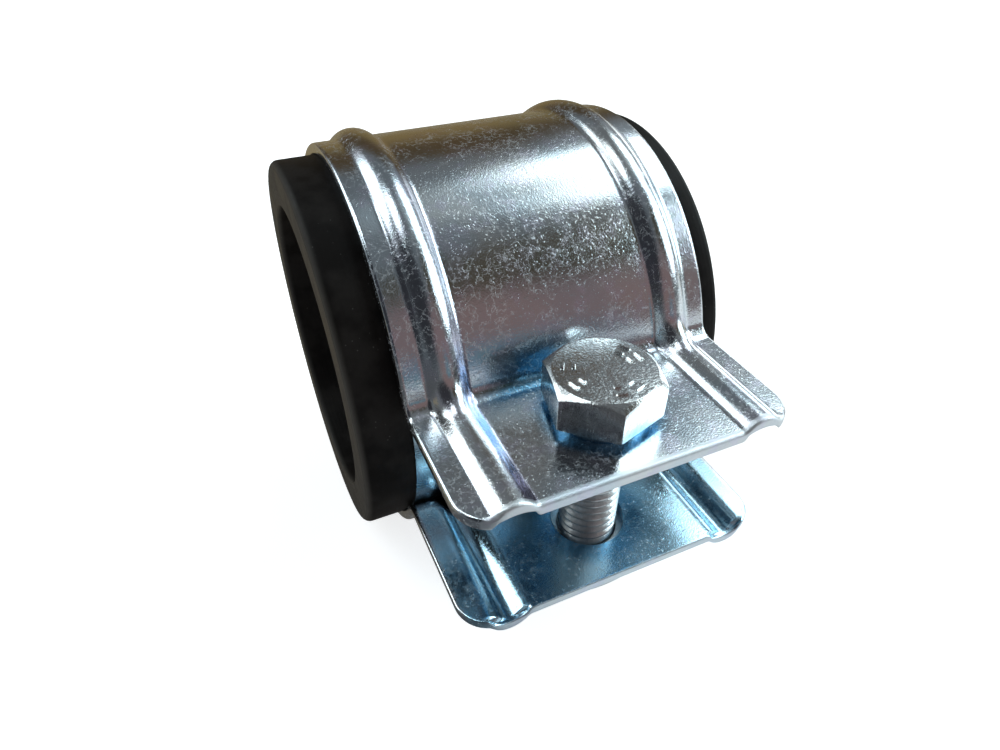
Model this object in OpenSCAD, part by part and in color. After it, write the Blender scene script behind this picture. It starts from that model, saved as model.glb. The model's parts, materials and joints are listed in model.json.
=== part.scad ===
// Single-bolt pipe coupling: a rubber sleeve inside a one-piece sheet-steel band.
// The band's two lugs are drawn together by a hex bolt and nut, and a thin bridge
// plate covers the rubber where the band is open. The X axis is the pipe axis, the
// lugs point to -Y and the bolt stands along Z. The origin is the middle of the band
// on the pipe axis.

/* [Rubber sleeve] */
// Bore of the sleeve, which takes a 42.4 mm pipe
sleeve_bore_d = 42.5; // [42.45:0.05:42.8]
// Outside diameter of the sleeve
sleeve_od = 55; // [54:0.5:58]
// Length of the sleeve along the pipe
sleeve_len = 53.5; // [50:0.5:60]
// How far the middle of the sleeve sits to the left of the middle of the band
sleeve_shift = 1.1; // [0:0.1:3]
// Radius on the sleeve's outer edges
sleeve_edge_r = 1.2; // [0.5:0.1:2]

/* [Clamp band] */
// Width of the band along the pipe
band_w = 43.6; // [40:0.2:46]
// Thickness of the band's sheet
sheet_t = 1.5; // [1.2:0.1:1.8]
// Distance from the pipe axis to the front edge of the upper lug
upper_reach = 47.2; // [45:0.1:52]
// Distance from the pipe axis to the front edge of the lower lug
lower_reach = 46.5; // [45:0.1:52]
// Clear gap between the two lugs
lug_gap = 18; // [14:0.5:20]
// How far the middle of the gap sits below the pipe axis
gap_drop = 3.5; // [0:0.1:4]
// Radius of the lugs' front corners
lug_corner_r = 4.5; // [2:0.5:6]
// Radius on the outer side of the fold between the band and a lug
fold_r = 2.2; // [2:0.1:3]

/* [Stiffening beads] */
// Width of a bead where it leaves the sheet
bead_w = 5; // [4.4:0.2:6]
// Height of a bead above the sheet
bead_h = 1.3; // [1:0.1:1.6]
// Distance from the edge of the band to the middle of a bead
bead_inset = 5.7; // [4.5:0.1:7]

/* [Bridge plate] */
// Thickness of the bridge plate
bridge_t = 0.5; // [0.4:0.1:0.8]
// Width of the bridge plate along the pipe
bridge_w = 42; // [38:0.5:43]
// Angle that the bridge plate spans round the pipe axis
bridge_span = 110; // [90:5:140]

/* [Bolt and nut] */
// Distance from the pipe axis to the bolt axis
bolt_y = 36.5; // [36.4:0.1:38]
// Bolt size, the outside diameter of its thread
bolt_d = 8; // [8:8]
// Length of the bolt under its head
bolt_len = 30; // [30:5:45]
// Distance across the flats of the head and the nut
hex_af = 13; // [13:13]
// Height of the hexagonal part of the bolt head
head_h = 5.4; // [5.2:0.1:5.5]
// Height of the round seat under the bolt head's hexagon
seat_h = 1.1; // [0.4:0.1:1.5]
// Height of the nut
nut_h = 6.5; // [6.5:0.1:6.8]
// Diameter of the bolt hole in the upper lug
upper_hole_d = 9; // [8.8:0.1:10]
// Diameter of the wider bolt hole in the lower lug
lower_hole_d = 10; // [9:0.1:11]
// Angle of the head's corners about the bolt axis
head_turn = 17; // [0:1:59]

/* [Hidden] */
$fn = 96;

// Clearance between two pieces that turn or slide on each other
running_gap = 0.05;
// Play round the bridge plate in its recess: at its sides, under it, and in degrees at
// its ends
recess_play = 0.1;
recess_floor_play = 0.02;
recess_end_play = 0.2;
// Margin by which a cutting shape passes through what it cuts
through = 1;
// The folds are this much fuller than the sheet on every side, and the sheet runs this
// far into them, so that the stretches of the band merge into one solid
fold_skin = 0.02;
fold_lap = 0.1;

sleeve_r = sleeve_od / 2;
sleeve_bore_r = sleeve_bore_d / 2;
recess_r = sleeve_r - bridge_t - recess_floor_play;

band_inner_r = sleeve_r + running_gap;
band_outer_r = band_inner_r + sheet_t;

// Heights of the lugs' facing sides and of their outer sides
upper_inner_z = lug_gap / 2 - gap_drop;
lower_inner_z = -lug_gap / 2 - gap_drop;
upper_outer_z = upper_inner_z + sheet_t;
lower_outer_z = lower_inner_z - sheet_t;

// The bead's arc on the sheet's outer side; its inner arc is one sheet thickness less
bead_r = (bead_w * bead_w / 4 + bead_h * bead_h) / (2 * bead_h);
bead_x = band_w / 2 - bead_inset;

// The thread is drawn as a plain shank close to its outside diameter
shank_r = bolt_d / 2 - running_gap;
hex_corner_r = hex_af / 2 / cos(30);
// Radius of the round seat under the bolt head's hexagon
seat_r = 5.9;
// Angle of the chamfer on a hexagon's end and the radius of the flat that it leaves
hex_chamfer_a = 30;
head_flat_r = 0.95 * hex_af / 2;
// Height and depth of the chamfer on the bolt's tip
tip_h = 0.8;

// Cross-section of the beaded sheet, grown by skin on every side. X is the height
// above the sheet's inner side and Y runs across the band.
module sheet_section(skin = 0) {
    arc_centre = sheet_t + bead_h - bead_r;
    difference() {
        union() {
            translate([-skin, -band_w / 2 - skin])
                square([sheet_t + 2 * skin, band_w + 2 * skin]);
            for (side = [-1, 1])
                intersection() {
                    translate([arc_centre, side * bead_x]) circle(r = bead_r + skin);
                    translate([sheet_t / 2, side * bead_x - bead_w]) square([bead_r, 2 * bead_w]);
                }
        }
        for (side = [-1, 1])
            translate([arc_centre, side * bead_x]) circle(r = bead_r - sheet_t - skin);
    }
}

// Turns shapes drawn about Z so that they stand about the pipe axis, with angles
// counted from +Y towards +Z
module about_pipe_axis() {
    rotate([90, 0, 90]) children();
}

// Angle between the gap's direction, -Y, and the line from the pipe axis to a fold's
// centre, for a lug whose outer side lies at this distance from the axis plane
function fold_angle(outer_z) = asin((outer_z + fold_r) / (band_outer_r + fold_r));

// The part of the band that wraps the sleeve
module wrap() {
    lap_a = fold_lap / band_outer_r * 180 / PI;
    upper_a = fold_angle(upper_outer_z) - lap_a;
    lower_a = fold_angle(-lower_outer_z) - lap_a;
    about_pipe_axis()
        rotate([0, 0, 180 + lower_a])
            rotate_extrude(angle = 360 - lower_a - upper_a)
                translate([band_inner_r, 0]) sheet_section();
}

// A lug and the fold that joins it to the wrap, drawn above the axis plane. The lug's
// outer side is at outer_z and its front edge is at reach from the pipe axis.
module lug(outer_z, hole_d, reach) {
    fold_a = fold_angle(outer_z);
    fold_y = -(band_outer_r + fold_r) * cos(fold_a);
    translate([0, fold_y, outer_z + fold_r])
        about_pipe_axis()
            rotate([0, 0, -90])
                rotate_extrude(angle = 90 - fold_a)
                    translate([fold_r + sheet_t, 0])
                        mirror([1, 0]) sheet_section(fold_skin);
    difference() {
        translate([0, -reach, outer_z - sheet_t])
            rotate([-90, -90, 0])
                linear_extrude(height = reach + fold_y + fold_lap) sheet_section();
        translate([0, -bolt_y, outer_z - sheet_t - through])
            cylinder(d = hole_d, h = sheet_t + 2 * through);
        for (side = [-1, 1])
            translate([side * (band_w / 2 - lug_corner_r), lug_corner_r - reach, outer_z])
                corner_waste(side);
    }
}

// What is cut off a square corner to round it
module corner_waste(side) {
    height = 2 * (sheet_t + bead_h + through);
    difference() {
        translate([side > 0 ? 0 : -2 * lug_corner_r, -2 * lug_corner_r, -height / 2])
            cube([2 * lug_corner_r, 2 * lug_corner_r, height]);
        cylinder(r = lug_corner_r, h = 2 * height, center = true);
    }
}

// Hexagonal prism with chamfered ends, from the radius of the flat at each end
module chamfered_hex(height, bottom_flat_r, top_flat_r) {
    far_r = hex_corner_r + through;
    slope = tan(hex_chamfer_a);
    intersection() {
        cylinder(r = hex_corner_r, h = height, $fn = 6);
        rotate_extrude()
            polygon([
                [0, 0],
                [bottom_flat_r, 0],
                [far_r, (far_r - bottom_flat_r) * slope],
                [far_r, height - (far_r - top_flat_r) * slope],
                [top_flat_r, height],
                [0, height]
            ]);
    }
}

// Ring profile with both outer edges rounded, drawn with the pipe axis along Y
module sleeve_section() {
    body_h = sleeve_len - 2 * sleeve_edge_r;
    translate([sleeve_bore_r, -sleeve_len / 2])
        square([sleeve_r - sleeve_bore_r - sleeve_edge_r, sleeve_len]);
    translate([sleeve_bore_r, -body_h / 2])
        square([sleeve_r - sleeve_bore_r, body_h]);
    for (end = [-1, 1])
        translate([sleeve_r - sleeve_edge_r, end * body_h / 2]) circle(r = sleeve_edge_r);
}

module rubber_sleeve() {
    color([0.09, 0.09, 0.1])
        difference() {
            translate([-sleeve_shift, 0, 0])
                about_pipe_axis() rotate_extrude() sleeve_section();
            about_pipe_axis()
                rotate([0, 0, 180 - bridge_span / 2 - recess_end_play])
                    rotate_extrude(angle = bridge_span + 2 * recess_end_play)
                        translate([recess_r, -bridge_w / 2 - recess_play])
                            square([bridge_t + through, bridge_w + 2 * recess_play]);
        }
}

module bridge_plate() {
    color([0.62, 0.66, 0.7])
        about_pipe_axis()
            rotate([0, 0, 180 - bridge_span / 2])
                rotate_extrude(angle = bridge_span)
                    translate([sleeve_r - bridge_t, -bridge_w / 2]) square([bridge_t, bridge_w]);
}

module clamp_band() {
    color([0.76, 0.78, 0.8]) {
        wrap();
        lug(upper_outer_z, upper_hole_d, upper_reach);
        mirror([0, 0, 1]) lug(-lower_outer_z, lower_hole_d, lower_reach);
    }
}

module hex_bolt() {
    color([0.6, 0.62, 0.64])
        translate([0, -bolt_y, upper_outer_z]) {
            cylinder(r = seat_r, h = seat_h);
            translate([0, 0, seat_h])
                rotate([0, 0, head_turn]) chamfered_hex(head_h, hex_corner_r, head_flat_r);
            translate([0, 0, tip_h - bolt_len])
                cylinder(r = shank_r, h = bolt_len + seat_h - tip_h);
            translate([0, 0, -bolt_len]) cylinder(r1 = shank_r - tip_h, r2 = shank_r, h = tip_h);
        }
}

module hex_nut() {
    color([0.66, 0.68, 0.7])
        translate([0, -bolt_y, lower_outer_z - nut_h])
            difference() {
                chamfered_hex(nut_h, head_flat_r, head_flat_r);
                translate([0, 0, -through])
                    cylinder(r = shank_r + running_gap, h = nut_h + 2 * through);
            }
}

rubber_sleeve();
bridge_plate();
clamp_band();
hex_bolt();
hex_nut();
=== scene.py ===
import json
import math

import bmesh
import bpy
from mathutils import Matrix, Vector


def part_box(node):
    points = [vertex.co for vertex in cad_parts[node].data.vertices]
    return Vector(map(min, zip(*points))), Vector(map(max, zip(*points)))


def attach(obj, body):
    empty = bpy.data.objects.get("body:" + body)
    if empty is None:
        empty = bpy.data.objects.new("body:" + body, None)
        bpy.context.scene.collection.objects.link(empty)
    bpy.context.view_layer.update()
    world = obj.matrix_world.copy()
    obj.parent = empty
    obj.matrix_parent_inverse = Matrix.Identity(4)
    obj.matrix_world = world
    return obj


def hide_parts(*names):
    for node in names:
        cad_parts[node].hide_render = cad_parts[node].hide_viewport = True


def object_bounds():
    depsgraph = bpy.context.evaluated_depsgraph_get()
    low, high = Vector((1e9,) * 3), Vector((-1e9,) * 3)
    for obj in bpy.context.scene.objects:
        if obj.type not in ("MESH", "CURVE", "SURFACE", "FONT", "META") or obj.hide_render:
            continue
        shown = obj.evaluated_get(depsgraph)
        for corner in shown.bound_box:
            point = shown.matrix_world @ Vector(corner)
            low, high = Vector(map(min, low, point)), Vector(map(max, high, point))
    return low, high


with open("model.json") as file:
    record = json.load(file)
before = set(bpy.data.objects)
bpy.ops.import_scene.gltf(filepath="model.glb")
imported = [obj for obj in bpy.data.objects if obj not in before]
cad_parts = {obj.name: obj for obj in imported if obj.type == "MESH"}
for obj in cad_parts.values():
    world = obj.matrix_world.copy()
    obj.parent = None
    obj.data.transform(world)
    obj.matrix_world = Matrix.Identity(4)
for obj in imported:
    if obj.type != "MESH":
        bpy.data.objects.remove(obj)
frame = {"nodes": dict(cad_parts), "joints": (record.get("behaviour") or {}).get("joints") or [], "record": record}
cad_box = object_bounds()

MM = 0.001

# ---------------------------------------------------------------- sizes, from the frame

bore = next(m for m in frame["record"]["mounts"] if m["name"] == "pipe_bore")
bolt_joint = next(j for j in frame["joints"] if j["name"] == "bolt_turn")

SLEEVE_LOW, SLEEVE_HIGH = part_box("rubber_sleeve")
PLATE_LOW, PLATE_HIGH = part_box("bridge_plate")
BAND_LOW, BAND_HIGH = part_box("clamp_band")
BOLT_LOW, BOLT_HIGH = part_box("hex_bolt")
NUT_LOW, NUT_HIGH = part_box("hex_nut")

SLEEVE_R = SLEEVE_HIGH[2]
SLEEVE_LEN = SLEEVE_HIGH[0] - SLEEVE_LOW[0]
SLEEVE_MIDDLE = (SLEEVE_HIGH[0] + SLEEVE_LOW[0]) / 2
SLEEVE_EDGE = 1.1 * MM
BORE_R = bore["dims"]["r_mm"] * MM
BORE_LIP = 0.35 * MM
RECESS_DEPTH = 0.53 * MM
RECESS_HALF = math.radians(55.5)
RECESS_END = 0.4 * MM
RECESS_PLAY = 0.01 * MM

BAND_W = BAND_HIGH[0] - BAND_LOW[0]
SHEET_T = 1.5 * MM
OUTER_ROLL = 0.5 * MM
INNER_ROLL = 0.25 * MM
BAND_IN_R = SLEEVE_R + 0.05 * MM
BAND_OUT_R = BAND_IN_R + SHEET_T
BEAD_H = BAND_HIGH[2] - BAND_OUT_R
BEAD_W = 5 * MM
BEAD_X = BAND_W / 2 - 5.7 * MM
FOLD_R = 2.2 * MM
CORNER_R = 4.5 * MM
UPPER_HOLE_R = 4.5 * MM
LOWER_HOLE_R = 5 * MM

BOLT_Y = bolt_joint["pos_m"][1]
SEAT_Z = bolt_joint["pos_m"][2]
HEX_FLATS = 13 * MM
HEX_CHAMFER = math.radians(30)
CHAMFER_R = 0.95 * HEX_FLATS / 2
HEAD_UNDER_R = 7.3 * MM
HEAD_TURN = math.radians(17)
HEAD_TOP = BOLT_HIGH[2] - 0.3 * MM
HEAD_SEAT_H = 1.1 * MM
HEAD_SEAT_R = 5.9 * MM
BAR_ANGLES = 5, 30, 150, 195, 262, 290
BAR_RADII = 3.6 * MM, 4.9 * MM
PITCH = 1.25 * MM
THREAD_CREST = 3.92 * MM
THREAD_ROOT = 3.26 * MM
THREAD_GAP = 0.07 * MM
UPPER_Z = SEAT_Z - SHEET_T
LOWER_Z = NUT_HIGH[2] + SHEET_T
UPPER_REACH = -BAND_LOW[1]
LOWER_REACH = UPPER_REACH - 0.7 * MM


# ---------------------------------------------------------------- mesh helpers

# Points of one mesh nearer than this are one point, and the wider distance for the slivers
# that cutting and joining leave.
SAME_POINT = 0.0001 * MM
SLIVER = 0.002 * MM


def new_object(name, verts, faces):
    mesh = bpy.data.meshes.new(name)
    mesh.from_pydata(verts, [], faces)
    mesh.validate()
    obj = bpy.data.objects.new(name, mesh)
    bpy.context.scene.collection.objects.link(obj)
    return obj


def outward(obj):
    """Welds doubled points and turns every face outwards."""
    bm = bmesh.new()
    bm.from_mesh(obj.data)
    bmesh.ops.remove_doubles(bm, verts=bm.verts, dist=SAME_POINT)
    bmesh.ops.recalc_face_normals(bm, faces=bm.faces)
    bm.to_mesh(obj.data)
    bm.free()


def apply_modifiers(obj):
    graph = bpy.context.evaluated_depsgraph_get()
    mesh = bpy.data.meshes.new_from_object(obj.evaluated_get(graph))
    obj.modifiers.clear()
    obj.data = mesh


def drop_slivers(obj):
    """Joins points that nearly meet, and drops the faces that this leaves without area."""
    bm = bmesh.new()
    bm.from_mesh(obj.data)
    bmesh.ops.remove_doubles(bm, verts=bm.verts, dist=SLIVER)
    bmesh.ops.dissolve_degenerate(bm, dist=SLIVER, edges=bm.edges)
    bm.to_mesh(obj.data)
    bm.free()


def combine(obj, other, operation):
    """Adds the other solid to obj or cuts it away, and drops the other."""
    mod = obj.modifiers.new(operation.lower(), "BOOLEAN")
    mod.operation = operation
    mod.solver = "EXACT"
    mod.object = other
    apply_modifiers(obj)
    drop_slivers(obj)
    bpy.data.objects.remove(other)


def soften_edges(obj, width, angle, segments=2):
    mod = obj.modifiers.new("soft_edges", "BEVEL")
    mod.width = width
    mod.segments = segments
    mod.limit_method = "ANGLE"
    mod.angle_limit = math.radians(angle)


def shade(obj, angle=35):
    """Smooth shading that keeps edges sharper than this angle."""
    mesh = obj.data
    mesh.shade_smooth()
    mesh.set_sharp_from_angle(angle=math.radians(angle))


# Sides of a turned shape, and the part of a step by which it is turned, so that its points
# don't fall on those of the sheet or the hexagon that it cuts.
LATHE_STEPS = 96
LATHE_TURN = 0.37


def lathe(name, profile):
    """Turns a profile of (radius, height) points about the bolt's axis, on which it starts
    and ends."""
    verts = []
    for k in range(LATHE_STEPS):
        a = 2 * math.pi * (k + LATHE_TURN) / LATHE_STEPS
        verts += [(r * math.cos(a), BOLT_Y + r * math.sin(a), z) for r, z in profile]
    n = len(profile)
    faces = []
    for k in range(LATHE_STEPS):
        a, b = k * n, (k + 1) % LATHE_STEPS * n
        for j in range(n - 1):
            faces.append((a + j, b + j, b + j + 1, a + j + 1))
    return new_object(name, verts, faces)


def arc(centre, radius, start, end, steps):
    """Points on an arc, with angles in degrees."""
    angles = [math.radians(start + (end - start) * k / steps) for k in range(steps + 1)]
    return [(centre[0] + radius * math.cos(a), centre[1] + radius * math.sin(a)) for a in angles]


# ---------------------------------------------------------------- clamp band

# Steps of the sheet's mesh: in mm from its edges, and counts along each stretch.
EDGE_STEPS = [0, 0.03, 0.1, 0.2, 0.34, 0.5, 0.62]
LUG_STEPS = 8
FOLD_STEPS = 15
WRAP_STEPS = 168
# The corners of the lugs are made by drawing in the columns outside this distance.
CORNER_PIVOT = 11 * MM
# Beads bend at the folds with this much more radius for each unit of their height.
BEAD_BEND = 2.4


def bead_shape(x):
    """Height of the sheet's outer side above its plain level, and its slope angle."""
    fillet = 0.9 * MM
    crest = (BEAD_W ** 2 / 4 + BEAD_H ** 2) / (2 * BEAD_H)
    foot = math.sqrt((crest + fillet) ** 2 - (crest + fillet - BEAD_H) ** 2)
    lean = math.atan2(foot, crest + fillet - BEAD_H)
    d = abs(x) - BEAD_X
    side = 1 if x > 0 else -1
    out = 1 if d > 0 else -1
    if abs(d) >= foot:
        return 0.0, 0.0
    if abs(d) > foot - fillet * math.sin(lean):
        a = math.asin((foot - abs(d)) / fillet)
        return fillet * (1 - math.cos(a)), -a * out * side
    a = math.asin(abs(d) / crest)
    return BEAD_H - crest * (1 - math.cos(a)), -a * out * side


def rolled(distance, radius):
    """How far a rounded edge drops at this distance in from the edge."""
    if distance >= radius:
        return 0.0
    reach = radius - max(distance, 0.0)
    return radius - math.sqrt(max(radius ** 2 - reach ** 2, 0.0))


def sheet_columns():
    """Distances across the band at which the sheet is sampled, on the right half."""
    half = BAND_W / 2
    plain_step, bead_step = 1.5 * MM, 0.3 * MM
    plain = [i * plain_step for i in range(8)]
    bead = [12 * MM + i * bead_step for i in range(28)]
    edge = [half - e * MM for e in reversed(EDGE_STEPS)]
    return plain + [x for x in bead if x < edge[0] - bead_step / 3] + edge


def column_x(base, inset):
    """Where a column that lies at base on a straight stretch lies near a lug's front."""
    half = BAND_W / 2
    width = half
    if inset is not None and inset < CORNER_R:
        width = half - CORNER_R + math.sqrt(CORNER_R ** 2 - (CORNER_R - inset) ** 2)
    x = abs(base)
    if x > CORNER_PIVOT:
        narrowing = (width - CORNER_PIVOT) / (half - CORNER_PIVOT)
        x = CORNER_PIVOT + (x - CORNER_PIVOT) * narrowing
    return math.copysign(x, base)


def edge_distance(x, inset):
    """Distance of a point on the sheet from the sheet's nearest edge."""
    inward = BAND_W / 2 - abs(x)
    if inset is None:
        return inward
    if inward < CORNER_R and inset < CORNER_R:
        return CORNER_R - math.hypot(CORNER_R - inward, CORNER_R - inset)
    return min(inward, inset)


def lug_insets():
    """Distances in from a lug's front edge, over its rolled edge and its rounded corners."""
    corner = [CORNER_R * (1 - math.cos(math.radians(a))) for a in range(25, 91, 5)]
    return [e * MM for e in EDGE_STEPS[:-1]] + [c for c in corner if c > OUTER_ROLL]


def lug_path(inner_z, reach, up, height):
    """The outer side of a lug and its fold at this height above the plain sheet: a list of
    (point, outward normal, inset) and the angle at which the wrap begins. A bead bends
    less tightly than the plain sheet next to it."""
    level = abs(inner_z) + SHEET_T + height
    circle = BAND_OUT_R + height
    bend = FOLD_R + BEAD_BEND * height
    fold = math.asin((level + bend) / (circle + bend))
    fold_y = -(circle + bend) * math.cos(fold)
    insets = lug_insets()
    last = insets[-1]
    insets += [last + (reach + fold_y - last) * k / LUG_STEPS for k in range(1, LUG_STEPS + 1)]
    path = [((i - reach, up * level), (0, up), i) for i in insets]
    for k in range(1, FOLD_STEPS):
        a = (math.pi / 2 - fold) * k / FOLD_STEPS
        d = (math.sin(a), -up * math.cos(a))
        point = (fold_y + bend * d[0], up * (level + bend) + bend * d[1])
        path.append((point, (-d[0], -d[1]), None))
    return path, fold


def band_path(height):
    """The outer side of the band at this height above the plain sheet, from the upper
    lug's front edge round to the lower lug's."""
    upper, upper_fold = lug_path(UPPER_Z, UPPER_REACH, 1, height)
    lower, lower_fold = lug_path(LOWER_Z, LOWER_REACH, -1, height)
    start, end = math.pi - upper_fold, lower_fold - math.pi
    wrap = []
    for k in range(WRAP_STEPS + 1):
        a = start + (end - start) * k / WRAP_STEPS
        n = (math.cos(a), math.sin(a))
        r = BAND_OUT_R + height
        wrap.append(((n[0] * r, n[1] * r), n, None))
    return upper + wrap + lower[::-1]


def sheet_points(station, x, lean):
    """The outer and inner corner points of the sheet at one station and column."""
    point, normal, inset = station
    distance = edge_distance(x, inset)
    outer = -rolled(distance, OUTER_ROLL)
    inner = rolled(distance, INNER_ROLL) - SHEET_T * math.cos(lean)
    shift = SHEET_T * math.sin(lean) if distance > 0.7 * MM else 0
    top = (x, point[0] + normal[0] * outer, point[1] + normal[1] * outer)
    bottom = (x + shift, point[0] + normal[0] * inner, point[1] + normal[1] * inner)
    return top, bottom


def sheet_faces(rows, columns):
    """Faces of a sheet whose rows hold the outer points and then the inner ones."""
    faces = []
    for i in range(rows - 1):
        a, b = i * 2 * columns, (i + 1) * 2 * columns
        inner_a, inner_b = a + columns, b + columns
        for j in range(columns - 1):
            faces.append((a + j, a + j + 1, b + j + 1, b + j))
            faces.append((inner_a + j, inner_b + j, inner_b + j + 1, inner_a + j + 1))
        for j in (0, columns - 1):
            faces.append((a + j, b + j, inner_b + j, inner_a + j))
    for i in (0, rows - 1):
        a = i * 2 * columns
        inner_a = a + columns
        for j in range(columns - 1):
            faces.append((a + j, a + j + 1, inner_a + j + 1, inner_a + j))
    return faces


def sheet_verts(bases, plain):
    """Points of the sheet, station by station. Each height above the plain sheet has a
    path of its own round the band."""
    verts = []
    paths = {}
    for i, (_, _, inset) in enumerate(plain):
        tops, bottoms = [], []
        for base in bases:
            x = column_x(base, inset)
            height, lean = bead_shape(x)
            if height not in paths:
                paths[height] = band_path(height)
            top, bottom = sheet_points(paths[height][i], x, lean)
            tops.append(top)
            bottoms.append(bottom)
        verts += tops + bottoms
    return verts


def lengths_along(path):
    """Distance of each station from the first, measured along the sheet."""
    along = [0.0]
    for before, after in zip(path, path[1:]):
        step = (after[0][0] - before[0][0], after[0][1] - before[0][1])
        along.append(along[-1] + math.hypot(*step))
    return along


def cut_bolt_hole(band, low, high, radius):
    """Cuts a hole with softened edges through the lug between these two levels."""
    soft, clear = 0.15 * MM, 0.5 * MM
    wide = radius + soft + clear
    profile = [(0, low - clear), (wide, low - clear), (radius, low + soft)]
    profile += [(radius, high - soft), (wide, high + clear), (0, high + clear)]
    cutter = lathe("cutter", profile)
    outward(cutter)
    combine(band, cutter, "DIFFERENCE")


def build_band():
    right = sheet_columns()
    bases = [-x for x in reversed(right[1:])] + right
    plain = band_path(0)
    verts = sheet_verts(bases, plain)
    faces = sheet_faces(len(plain), len(bases))
    band = new_object("zinc_band", verts, faces)
    along = lengths_along(plain)
    uv = band.data.uv_layers.new(name="sheet")
    for loop in band.data.loops:
        row = loop.vertex_index // (2 * len(bases))
        uv.data[loop.index].uv = (verts[loop.vertex_index][0], along[row])
    outward(band)
    cut_bolt_hole(band, UPPER_Z, UPPER_Z + SHEET_T, UPPER_HOLE_R)
    cut_bolt_hole(band, LOWER_Z - SHEET_T, LOWER_Z, LOWER_HOLE_R)
    shade(band, 40)
    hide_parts("clamp_band")
    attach(band, "band")
    return band


# ---------------------------------------------------------------- rubber sleeve

def sleeve_profile():
    """The sleeve's section on one side of its axis, as (x, radius) points in a closed loop."""
    left, right = SLEEVE_LOW[0], SLEEVE_HIGH[0]
    outer, inner = SLEEVE_R - SLEEVE_EDGE, BORE_R + BORE_LIP
    outside = right - left - 2 * SLEEVE_EDGE
    bore_len = right - left - 2 * BORE_LIP
    profile = arc((left + SLEEVE_EDGE, outer), SLEEVE_EDGE, 180, 90, 8)
    profile += [(left + SLEEVE_EDGE + outside * k / 24, SLEEVE_R) for k in range(1, 24)]
    profile += arc((right - SLEEVE_EDGE, outer), SLEEVE_EDGE, 90, 0, 8)
    profile += [(right, outer - (outer - inner) * k / 4) for k in range(1, 4)]
    profile += arc((right - BORE_LIP, inner), BORE_LIP, 0, -90, 4)
    profile += [(right - BORE_LIP - bore_len * k / 12, BORE_R) for k in range(1, 12)]
    profile += arc((left + BORE_LIP, inner), BORE_LIP, -90, -180, 4)
    profile += [(left, inner + (outer - inner) * k / 4) for k in range(1, 4)]
    return profile


def under_plate(x, r, angle):
    """Whether a point of the sleeve lies in the shallow recess for the bridge plate."""
    outside = r > SLEEVE_R - RECESS_PLAY
    near = abs(math.pi - angle) < RECESS_HALF
    return outside and near and PLATE_LOW[0] - RECESS_END < x < PLATE_HIGH[0] + RECESS_END


def build_sleeve():
    profile = sleeve_profile()
    steps = 180
    verts = []
    for k in range(steps):
        a = 2 * math.pi * k / steps
        for x, r in profile:
            radius = SLEEVE_R - RECESS_DEPTH if under_plate(x, r, a) else r
            verts.append((x, radius * math.cos(a), radius * math.sin(a)))
    n = len(profile)
    faces = []
    for k in range(steps):
        a, b = k * n, (k + 1) % steps * n
        for j in range(n):
            i = (j + 1) % n
            faces.append((a + j, a + i, b + i, b + j))
    sleeve = new_object("rubber_ring", verts, faces)
    outward(sleeve)
    shade(sleeve, 50)
    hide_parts("rubber_sleeve")
    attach(sleeve, "sleeve")
    return sleeve


# ---------------------------------------------------------------- bolt and nut

def hexagon_radius(angle, turn):
    """Distance from the axis to the hexagon's side in this direction."""
    local = (angle - turn) % (math.pi / 3) - math.pi / 6
    return HEX_FLATS / 2 / math.cos(local)


def hex_solid(name, low, high, turn, flat_low, flat_high):
    """Hexagonal prism whose ends are chamfered down to round flats of the given radii."""
    slope = math.tan(HEX_CHAMFER)
    steps, past_corner = 144, 1e-9
    verts = [(0, BOLT_Y, low), (0, BOLT_Y, high)]
    for k in range(steps):
        a = turn + 2 * math.pi * k / steps
        r = hexagon_radius(a + past_corner, turn)
        bottom = low + max(r - flat_low, 0) * slope
        top = high - max(r - flat_high, 0) * slope
        ring = [(min(flat_low, r), low), (r, bottom), (r, top), (min(flat_high, r), high)]
        verts += [(q * math.cos(a), BOLT_Y + q * math.sin(a), z) for q, z in ring]
    faces = []
    for k in range(steps):
        a, b = 2 + k * 4, 2 + (k + 1) % steps * 4
        faces.append((0, b, a))
        faces += [(a + j, b + j, b + j + 1, a + j + 1) for j in range(3)]
        faces.append((a + 3, b + 3, 1))
    obj = new_object(name, verts, faces)
    outward(obj)
    return obj


def thread_solid(name, low, high, crest, root, tip):
    """A rod with a right-hand 60 degree thread, cut flat at both ends. Tip is the length
    of the chamfer at its lower end."""
    per_turn = 48
    shoulder = crest - 0.04 * MM
    tip_r = root - 0.25 * MM
    shape = [(0.0, root), (0.10, root), (0.40, shoulder), (0.46, crest)]
    shape += [(0.58, crest), (0.64, shoulder), (0.94, root)]
    start = low - 2 * PITCH
    turns = math.ceil((high - low) / PITCH) + 4
    verts = []
    for k in range(turns * per_turn + 1):
        a = 2 * math.pi * k / per_turn
        for along, r in shape:
            z = start + PITCH * (k / per_turn + along)
            if tip:
                r = min(r, tip_r + max(z - low, 0) * (crest - tip_r) / tip)
            verts.append((r * math.cos(a), BOLT_Y + r * math.sin(a), z))
    n = len(shape)
    faces = []
    for k in range(turns * per_turn):
        a, b = k * n, (k + 1) * n
        faces += [(a + j, b + j, b + j + 1, a + j + 1) for j in range(n - 1)]
        if k + per_turn + 1 <= turns * per_turn:
            c, d = (k + per_turn) * n, (k + per_turn + 1) * n
            faces.append((a + n - 1, b + n - 1, d, c))
    obj = new_object(name, verts, faces)
    bm = bmesh.new()
    bm.from_mesh(obj.data)
    on_plane = 0.00001 * MM
    for z, normal in ((low, (0, 0, -1)), (high, (0, 0, 1))):
        everything = bm.verts[:] + bm.edges[:] + bm.faces[:]
        cut = bmesh.ops.bisect_plane(bm, geom=everything, dist=on_plane, plane_co=(0, 0, z),
                                     plane_no=normal, clear_outer=True)
        edges = [e for e in cut["geom_cut"] if isinstance(e, bmesh.types.BMEdge)]
        bmesh.ops.holes_fill(bm, edges=edges, sides=0)
    bmesh.ops.recalc_face_normals(bm, faces=bm.faces)
    bm.to_mesh(obj.data)
    bm.free()
    return obj


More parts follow.
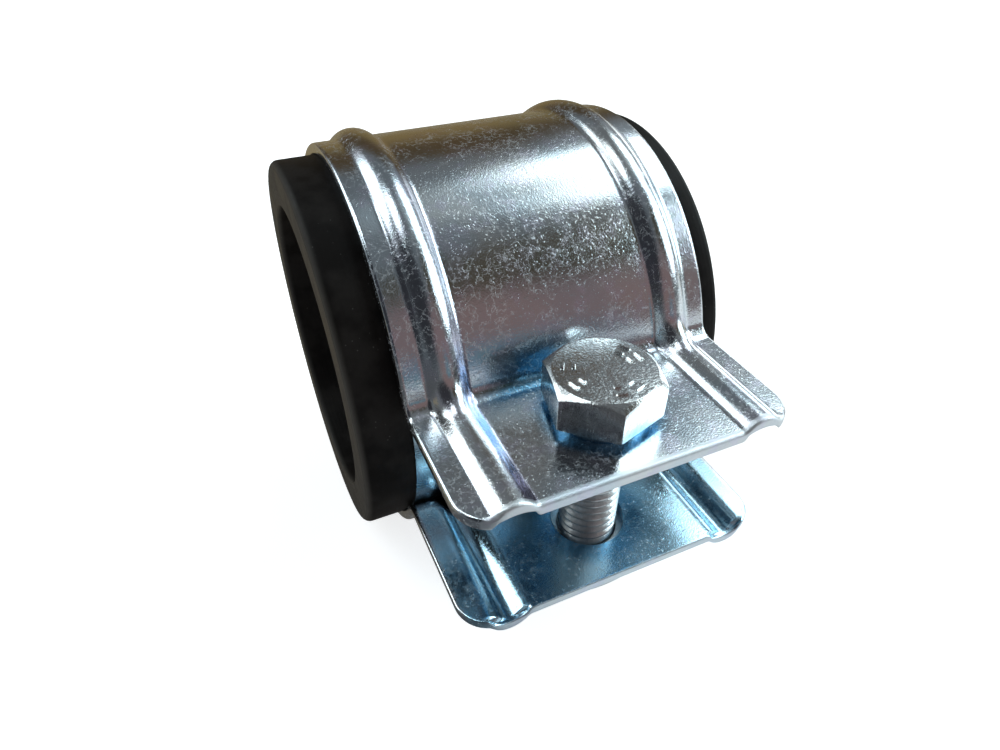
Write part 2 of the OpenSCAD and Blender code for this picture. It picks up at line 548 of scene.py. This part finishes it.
def raised_bar(angle, radius, length):
    """A short rounded bar across the radius on the bolt head, at this angle and distance."""
    width, height, rounding = 0.78 * MM, 0.8 * MM, 0.26 * MM
    bm = bmesh.new()
    bmesh.ops.create_cube(bm, size=1)
    bmesh.ops.scale(bm, vec=(width, length, height), verts=bm.verts)
    bmesh.ops.bevel(bm, geom=bm.edges[:], offset=rounding, segments=3, affect="EDGES")
    out = Matrix.Rotation(math.radians(angle), 4, "Z") @ Matrix.Translation((radius, 0, 0))
    place = Matrix.Translation((0, BOLT_Y, BOLT_HIGH[2] - height / 2))
    bmesh.ops.transform(bm, matrix=place @ out, verts=bm.verts)
    mesh = bpy.data.meshes.new("bar")
    bm.to_mesh(mesh)
    bm.free()
    bar = bpy.data.objects.new("bar", mesh)
    bpy.context.scene.collection.objects.link(bar)
    return bar


def head_seat(head_low):
    """The round seat under the hexagon, which keeps it clear of the lug."""
    edge = 0.15 * MM
    top = head_low + 0.2 * MM
    profile = [(0, SEAT_Z), (HEAD_SEAT_R - edge, SEAT_Z), (HEAD_SEAT_R, SEAT_Z + edge)]
    profile += [(HEAD_SEAT_R, top), (0, top)]
    seat = lathe("seat", profile)
    outward(seat)
    return seat


def build_bolt():
    head_low = SEAT_Z + HEAD_SEAT_H
    bolt = hex_solid("bolt", head_low, HEAD_TOP, HEAD_TURN, HEAD_UNDER_R, CHAMFER_R)
    soften_edges(bolt, 0.16 * MM, 25, 3)
    apply_modifiers(bolt)
    combine(bolt, head_seat(head_low), "UNION")
    for angle in BAR_ANGLES:
        for radius in BAR_RADII:
            combine(bolt, raised_bar(angle, radius, 0.36 * radius), "UNION")
    overlap, tip = 0.4 * MM, 0.9 * MM
    rod = thread_solid("rod", BOLT_LOW[2], SEAT_Z + overlap, THREAD_CREST, THREAD_ROOT, tip)
    combine(bolt, rod, "UNION")
    shade(bolt, 32)
    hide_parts("hex_bolt")
    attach(bolt, "bolt")
    return bolt


def countersink(nut, face_z, inward):
    """Cuts a cone into the mouth of the nut's thread. Inward is 1 if the nut lies above."""
    wide, narrow = 4.4 * MM, 3.3 * MM
    outside, inside = face_z - inward * 0.2 * MM, face_z + inward * 0.7 * MM
    profile = [(0, outside), (wide, outside), (narrow, inside), (0, inside)]
    cone = lathe("cone", profile)
    outward(cone)
    combine(nut, cone, "DIFFERENCE")


def build_nut():
    nut = hex_solid("nut", NUT_LOW[2], NUT_HIGH[2], 0, CHAMFER_R, CHAMFER_R)
    soften_edges(nut, 0.14 * MM, 25, 2)
    apply_modifiers(nut)
    crest, root = THREAD_CREST + THREAD_GAP, THREAD_ROOT + THREAD_GAP
    low, high = BOLT_LOW[2] - 4 * PITCH, BOLT_LOW[2] + 9 * PITCH
    combine(nut, thread_solid("tap", low, high, crest, root, 0), "DIFFERENCE")
    countersink(nut, NUT_LOW[2], 1)
    countersink(nut, NUT_HIGH[2], -1)
    shade(nut, 32)
    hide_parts("hex_nut")
    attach(nut, "nut")
    return nut


band = build_band()
sleeve = build_sleeve()
bolt = build_bolt()
nut = build_nut()
plate = frame["nodes"]["bridge_plate"]


# ---------------------------------------------------------------- materials

class Nodes:
    """Short calls for building the node tree of a material or of the world."""

    def __init__(self, owner):
        owner.use_nodes = True
        self.owner = owner
        self.tree = owner.node_tree

    def add(self, kind, **settings):
        node = self.tree.nodes.new(kind)
        for key, value in settings.items():
            setattr(node, key, value)
        return node

    def link(self, source, target):
        self.tree.links.new(source, target)

    def feed(self, socket, value):
        """Links a socket, or sets the value. Colours are given as (red, green, blue)."""
        if isinstance(value, bpy.types.NodeSocket):
            self.link(value, socket)
        else:
            socket.default_value = value + (1,) if isinstance(value, tuple) else value

    def place(self, scale=(1, 1, 1), uv=None):
        """Object coordinates in metres, or those of a UV layer, scaled."""
        source = self.add("ShaderNodeUVMap", uv_map=uv) if uv else self.add("ShaderNodeTexCoord")
        mapping = self.add("ShaderNodeMapping")
        mapping.inputs["Scale"].default_value = scale
        self.link(source.outputs["UV" if uv else "Object"], mapping.inputs["Vector"])
        return mapping.outputs["Vector"]

    def split(self, vector):
        """The parts of a vector, by the names X, Y and Z."""
        node = self.add("ShaderNodeSeparateXYZ")
        self.link(vector, node.inputs[0])
        return node.outputs

    def noise(self, size, detail=3, rough=0.55, where=None):
        """Noise whose blotches are about this many metres across."""
        node = self.add("ShaderNodeTexNoise")
        self.link(where or self.place(), node.inputs["Vector"])
        node.inputs["Scale"].default_value = 1 / size
        node.inputs["Detail"].default_value = detail
        node.inputs["Roughness"].default_value = rough
        return node.outputs["Fac"]

    def spots(self, size):
        """Distance to the nearest of points that lie about this many metres apart."""
        node = self.add("ShaderNodeTexVoronoi", feature="F1")
        self.link(self.place(), node.inputs["Vector"])
        node.inputs["Scale"].default_value = 1 / size
        return node.outputs["Distance"]

    def ramp(self, value, low, high, out_low=0.0, out_high=1.0):
        """A soft step from out_low to out_high as the value goes from low to high."""
        node = self.add("ShaderNodeMapRange", interpolation_type="SMOOTHSTEP")
        self.feed(node.inputs["Value"], value)
        node.inputs["From Min"].default_value = low
        node.inputs["From Max"].default_value = high
        node.inputs["To Min"].default_value = out_low
        node.inputs["To Max"].default_value = out_high
        return node.outputs["Result"]

    def math(self, operation, a, b=0.0):
        node = self.add("ShaderNodeMath", operation=operation)
        self.feed(node.inputs[0], a)
        self.feed(node.inputs[1], b)
        return node.outputs[0]

    def times(self, a, b):
        return self.math("MULTIPLY", a, b)

    def mix(self, factor, a, b):
        """Colour a, or b where the factor is 1."""
        node = self.add("ShaderNodeMix", data_type="RGBA")
        self.feed(node.inputs["Factor"], factor)
        self.feed(node.inputs[6], a)
        self.feed(node.inputs[7], b)
        return node.outputs[2]

    def bump(self, height, depth, under=None):
        """Bump of the given depth in metres for a height from 0 to 1."""
        node = self.add("ShaderNodeBump")
        self.link(height, node.inputs["Height"])
        node.inputs["Distance"].default_value = depth
        if under is not None:
            self.link(under, node.inputs["Normal"])
        return node.outputs["Normal"]

    def finish(self, **inputs):
        """Feeds the material's shader and returns the material."""
        shader = self.tree.nodes["Principled BSDF"]
        for key, value in inputs.items():
            self.feed(shader.inputs[key.replace("_", " ")], value)
        return self.owner


def new_material(name):
    return Nodes(bpy.data.materials.new(name))


def warped(n, size, amount):
    """Object coordinates pushed about by noise."""
    noise = n.add("ShaderNodeTexNoise")
    n.link(n.place(), noise.inputs["Vector"])
    noise.inputs["Scale"].default_value = 1 / size
    push = n.add("ShaderNodeVectorMath", operation="SCALE")
    n.link(noise.outputs["Color"], push.inputs[0])
    push.inputs["Scale"].default_value = amount
    total = n.add("ShaderNodeVectorMath", operation="ADD")
    n.link(n.place(), total.inputs[0])
    n.link(push.outputs[0], total.inputs[1])
    return total.outputs[0]


def tide_marks(n, size, width):
    """Closed rings in patches, 1 on the line, like the marks of rinse water that dried."""
    level = 0.53
    blot = n.noise(size, 2, 0.55, warped(n, size, 0.4 * size))
    away = n.math("ABSOLUTE", n.math("SUBTRACT", blot, level))
    patch = n.ramp(n.noise(6 * MM, 3, 0.6), 0.38, 0.52)
    return n.times(n.ramp(away, 0.0, width, 1.0, 0.0), patch)


def blue_reflection_masks(n, spot, not_rim):
    """Masks for painted blue reflection on the zinc: a blue tint on the sides of the lugs that face
    each other, and a darker blue, painted shade and reflection, round the bolt head and on the wrap behind it."""
    low = n.ramp(spot["Z"], -13 * MM, 5 * MM, 1.0, 0.0)
    ahead = n.ramp(spot["Y"], -28 * MM, -24 * MM, 1.0, 0.0)
    # Painted reflection: a blue tint on the lug sides that face each other in the gap.
    gap_blue_reflection = n.times(n.times(low, ahead), not_rim)
    to_bolt = n.add("ShaderNodeVectorMath", operation="DISTANCE")
    n.link(n.place((1, 1, 0)), to_bolt.inputs[0])
    to_bolt.inputs[1].default_value = (0, BOLT_Y, 0)
    # Painted shade and reflection: a darker blue ring round the head's seat, where the head shades the lug.
    head_shade_reflection = n.ramp(to_bolt.outputs["Value"], 6.4 * MM, 9.0 * MM, 0.9, 0.0)
    # Painted reflection: the same darker blue on the wrap behind the head.
    behind = n.ramp(to_bolt.outputs["Value"], 11 * MM, 16 * MM, 1.0, 0.0)
    behind = n.times(behind, n.ramp(spot["Z"], 9.5 * MM, 13.5 * MM, 1.0, 0.0))
    behind = n.times(behind, n.ramp(spot["Y"], -31 * MM, -29.5 * MM))
    behind = n.times(behind, n.ramp(spot["X"], -3 * MM, 1 * MM, 1.0, 0.0))
    return gap_blue_reflection, n.math("MAXIMUM", head_shade_reflection, behind)


def lilac_reflection_tint(n, spot, sheet):
    """Where a lilac reflection is painted on the zinc: along the inner foot of the left bead, fainter higher up.
    """
    inward = n.math("ADD", sheet["X"], BEAD_X)
    foot = n.ramp(inward, 0.9 * MM, 1.6 * MM)
    foot = n.times(foot, n.ramp(inward, 2.5 * MM, 3.2 * MM, 1.0, 0.0))
    return n.times(foot, n.ramp(spot["Z"], 9 * MM, 20 * MM, 0.8, 0.25))


def draw_lines(n, spot, sheet):
    """Height of the fine scratches that pressing the beads leaves along them."""
    from_bead = n.math("ABSOLUTE", n.math("SUBTRACT", n.math("ABSOLUTE", sheet["X"]), BEAD_X))
    on_bead = n.ramp(from_bead, 0.3 * BEAD_W, 0.55 * BEAD_W, 1.0, 0.12)
    on_wrap = n.ramp(spot["Z"], 8 * MM, 14 * MM, 0.1, 1.0)
    lines = n.noise(0.16 * MM, 3, 0.6, n.place((1, 0.02, 1), "sheet"))
    return n.times(lines, n.times(on_bead, on_wrap))


def zinc_sheet():
    n = new_material("zinc_sheet")
    spot = n.split(n.place())
    sheet = n.split(n.place(uv="sheet"))
    grain = n.noise(0.22 * MM, 2, 0.6)
    speck = n.ramp(n.noise(0.42 * MM, 2, 0.6), 0.58, 0.70)
    frost = n.noise(3.2 * MM, 5, 0.68)
    broad = n.noise(11 * MM, 2, 0.5)
    stain = tide_marks(n, 1.2 * MM, 0.044)
    not_front = n.ramp(spot["Y"], -UPPER_REACH + 0.5 * MM, -UPPER_REACH + 1.2 * MM)
    aside = n.math("ABSOLUTE", sheet["X"])
    not_side = n.ramp(aside, BAND_W / 2 - 0.9 * MM, BAND_W / 2 - 0.4 * MM, 1.0, 0.0)
    gap_blue_reflection, head_blue_reflection = blue_reflection_masks(n, spot, n.times(not_front, not_side))
    lilac = n.times(lilac_reflection_tint(n, spot, sheet), not_front)
    colour = n.mix(n.ramp(broad, 0.35, 0.65), (0.76, 0.79, 0.80), (0.66, 0.75, 0.81))
    colour = n.mix(n.ramp(frost, 0.48, 0.62, 0.0, 0.45), colour, (0.74, 0.72, 0.86))
    # Painted reflection: a lilac tint along the inner foot of the left bead.
    colour = n.mix(lilac, colour, (0.56, 0.50, 0.68))
    # Painted reflection: the lug sides in the gap are tinted blue.
    colour = n.mix(gap_blue_reflection, colour, (0.50, 0.76, 0.91))
    # Painted shade and reflection: darker blue round the bolt head and on the wrap behind it.
    colour = n.mix(head_blue_reflection, colour, (0.20, 0.46, 0.68))
    colour = n.mix(n.times(stain, 0.20), colour, (0.95, 0.95, 0.95))
    roughness = n.ramp(frost, 0.36, 0.66, 0.12, 0.185)
    roughness = n.math("ADD", roughness, n.times(stain, 0.08))
    roughness = n.math("ADD", roughness, n.times(speck, 0.10))
    roughness = n.math("ADD", roughness, n.ramp(not_front, 0.0, 1.0, 0.30, 0.0))
    normal = n.bump(grain, 0.017 * MM)
    normal = n.bump(speck, 0.007 * MM, normal)
    normal = n.bump(draw_lines(n, spot, sheet), 0.008 * MM, normal)
    normal = n.bump(frost, 0.012 * MM, normal)
    bare = n.ramp(stain, 0.0, 1.0, 1.0, 0.83)
    return n.finish(Base_Color=colour, Roughness=roughness, Normal=normal, Metallic=bare)


def thin_zinc():
    n = new_material("thin_zinc")
    grain = n.noise(0.22 * MM, 2, 0.6)
    frost = n.noise(3.2 * MM, 5, 0.68)
    rub = n.noise(0.4 * MM, 3, 0.6, n.place((0.04, 1, 1)))
    colour = n.mix(n.ramp(frost, 0.4, 0.6), (0.62, 0.74, 0.80), (0.50, 0.67, 0.76))
    roughness = n.ramp(frost, 0.36, 0.66, 0.16, 0.26)
    roughness = n.math("ADD", roughness, n.ramp(rub, 0.55, 0.75, 0.0, 0.12))
    normal = n.bump(rub, 0.006 * MM, n.bump(grain, 0.012 * MM))
    return n.finish(Base_Color=colour, Roughness=roughness, Normal=normal, Metallic=1.0)


def zinc_bolt():
    n = new_material("zinc_bolt")
    streak = n.noise(0.36 * MM, 3, 0.6, n.place((1, 1, 0.05)))
    scuff = n.noise(0.9 * MM, 4, 0.65)
    grain = n.noise(0.25 * MM, 2, 0.6)
    below_head = n.ramp(n.split(n.place())["Z"], 6.4 * MM, 7.0 * MM, 1.0, 0.0)
    colour = n.mix(n.ramp(scuff, 0.4, 0.62), (0.76, 0.78, 0.78), (0.60, 0.63, 0.64))
    roughness = n.ramp(scuff, 0.35, 0.7, 0.12, 0.25)
    roughness = n.math("ADD", roughness, n.ramp(streak, 0.5, 0.7, 0.0, 0.08))
    roughness = n.math("ADD", roughness, n.times(below_head, 0.16))
    normal = n.bump(grain, 0.008 * MM)
    normal = n.bump(streak, 0.035 * MM, normal)
    normal = n.bump(scuff, 0.02 * MM, normal)
    return n.finish(Base_Color=colour, Roughness=roughness, Normal=normal, Metallic=1.0)


def black_rubber():
    n = new_material("black_rubber")
    ring_pitch, flow_pitch = 0.55 * MM, 0.7 * MM
    spot = n.split(n.place())
    fine = n.noise(0.3 * MM, 3, 0.6)
    cloud = n.noise(6 * MM, 3, 0.6)
    dust = n.ramp(n.spots(0.9 * MM), 0.06, 0.12, 1.0, 0.0)
    dust = n.times(dust, n.ramp(n.noise(5 * MM, 1), 0.50, 0.56))
    square = n.math("ADD", n.math("POWER", spot["Y"], 2.0), n.math("POWER", spot["Z"], 2.0))
    radius = n.math("SQRT", square)
    rings = n.math("SINE", n.times(radius, 2 * math.pi / ring_pitch))
    flow = n.math("SINE", n.times(spot["X"], 2 * math.pi / flow_pitch))
    from_middle = n.math("ABSOLUTE", n.math("SUBTRACT", spot["X"], SLEEVE_MIDDLE))
    lit_end = n.ramp(from_middle, SLEEVE_LEN / 2 - 0.9 * MM, SLEEVE_LEN / 2 - 0.1 * MM)
    black, faded = (0.0050, 0.0040, 0.0036), (0.0125, 0.0105, 0.0095)
    colour = n.mix(n.ramp(cloud, 0.4, 0.65), black, faded)
    # Painted light: the end faces are made lighter than the outer side, as they catch the light from the left.
    colour = n.mix(lit_end, colour, (0.040, 0.037, 0.033))
    colour = n.mix(n.times(dust, 0.12), colour, (0.30, 0.29, 0.27))
    roughness = n.ramp(cloud, 0.3, 0.7, 0.46, 0.60)
    normal = n.bump(fine, 0.015 * MM)
    normal = n.bump(n.times(rings, 0.5), 0.016 * MM, normal)
    normal = n.bump(n.times(flow, 0.5), 0.006 * MM, normal)
    return n.finish(Base_Color=colour, Roughness=roughness, Normal=normal,
                    Specular_IOR_Level=0.10)


def dress(obj, material):
    obj.data.materials.clear()
    obj.data.materials.append(material)


dress(band, zinc_sheet())
dress(plate, thin_zinc())
bolt_zinc = zinc_bolt()
dress(bolt, bolt_zinc)
dress(nut, bolt_zinc)
dress(sleeve, black_rubber())


# ---------------------------------------------------------------- studio

def build_floor():
    """A white floor. In mirror-like reflections it is dimmer: pale in front of the object,
    dark to the left of that, and brown behind, as a sheet of paper on a table is."""
    n = new_material("floor")
    mirrored = n.add("ShaderNodeLightPath").outputs["Is Glossy Ray"]
    spot = n.split(n.place())
    behind = n.ramp(spot["Y"], -40 * MM, 40 * MM)
    right = n.ramp(spot["X"], -30 * MM, 8 * MM)
    dark, pale, brown = (0.03, 0.03, 0.033), (0.42, 0.43, 0.44), (0.13, 0.095, 0.045)
    image = n.mix(behind, n.mix(right, dark, pale), brown)
    glow = n.mix(mirrored, (0.70, 0.70, 0.70), image)
    tone = n.mix(mirrored, (0.85, 0.85, 0.85), image)
    n.finish(Base_Color=tone, Roughness=0.7, Emission_Color=glow, Emission_Strength=1.0)
    size = 3
    z = cad_box[0][2] - 0.02 * MM
    corners = [(-size, -size, z), (size, -size, z), (size, size, z), (-size, size, z)]
    floor = new_object("floor", corners, [(0, 1, 2, 3)])
    floor.data.materials.append(n.owner)


def patch(n, view, room, direction, half, soft, tone):
    """Lays a round patch over the room: its direction, half angle and soft edge."""
    toward = n.add("ShaderNodeVectorMath", operation="DOT_PRODUCT")
    n.link(view, toward.inputs[0])
    toward.inputs[1].default_value = Vector(direction).normalized()
    rim = math.cos(math.radians(half + soft))
    core = math.cos(math.radians(max(half - soft, 0)))
    return n.mix(n.ramp(toward.outputs["Value"], rim, core), room, tone)


def build_world():
    """A dim room with soft-edged windows and darker walls around the object, which only
    its reflections show. The camera itself sees plain white."""
    world = bpy.data.worlds.new("studio")
    bpy.context.scene.world = world
    n = Nodes(world)
    view = n.add("ShaderNodeTexCoord").outputs["Generated"]
    window, pale_wall = (4.2, 4.9, 5.1), (3.0, 3.3, 3.4)
    brown_wall, warm_wall = (0.20, 0.145, 0.065), (0.20, 0.14, 0.14)
    dark_wall, dark_ceiling = (0.03, 0.03, 0.035), (0.055, 0.045, 0.03)
    room = (0.14, 0.15, 0.16)
    for direction, half, soft, tone in (
        ((0.30, 0.95, 0.05), 40, 5, (0.078, 0.052, 0.028)),
        ((0.28, 0.96, -0.02), 18, 10, brown_wall),
        ((-0.60, -0.46, 0.60), 34, 12, dark_wall),
        ((0.42, -0.54, 0.72), 15, 5, dark_ceiling),
        ((0.20, -0.95, 0.25), 28, 8, warm_wall),
        ((0.28, -0.95, 0.08), 9, 5, (0.10, 0.19, 0.24)),
        ((0.84, -0.25, 0.48), 17, 5, window),
        ((0.88, 0.46, 0.00), 15, 8, pale_wall),
        ((0.72, 0.47, 0.50), 13, 12, (0.24, 0.265, 0.29)),
        ((0.60, 0.20, 0.77), 14, 6, window),
        ((0.34, 0.16, 0.93), 9, 7, (0.30, 0.34, 0.36)),
        ((-0.34, 0.16, 0.93), 10, 6, pale_wall),
        ((-0.64, 0.54, 0.52), 17, 7, pale_wall),
    ):
        room = patch(n, view, room, direction, half, soft, tone)
    seen = n.add("ShaderNodeLightPath").outputs["Is Camera Ray"]
    n.link(n.mix(seen, room, (1.0, 1.0, 1.0)), n.tree.nodes["Background"].inputs["Color"])


def build_camera():
    heading, pitch, roll = (math.radians(a) for a in (24.31, 38.47, 0.23))
    place = Vector((-36.46, -87.82, 61.3)) * MM
    ahead = Vector((math.sin(heading), math.cos(heading), 0))
    forward = ahead * math.cos(pitch) - Vector((0, 0, math.sin(pitch)))
    level = Vector((math.cos(heading), -math.sin(heading), 0))
    upright = level.cross(forward)
    right = level * math.cos(roll) + upright * math.sin(roll)
    up = upright * math.cos(roll) - level * math.sin(roll)
    data = bpy.data.cameras.new("camera")
    data.sensor_width = 36
    data.lens = 24.45
    data.clip_start = 1 * MM
    camera = bpy.data.objects.new("camera", data)
    bpy.context.scene.collection.objects.link(camera)
    camera.matrix_world = Matrix((right, up, -forward)).transposed().to_4x4()
    camera.matrix_world.translation = place
    bpy.context.scene.camera = camera


build_floor()
build_world()
build_camera()
bpy.context.scene.view_settings.view_transform = "Standard"
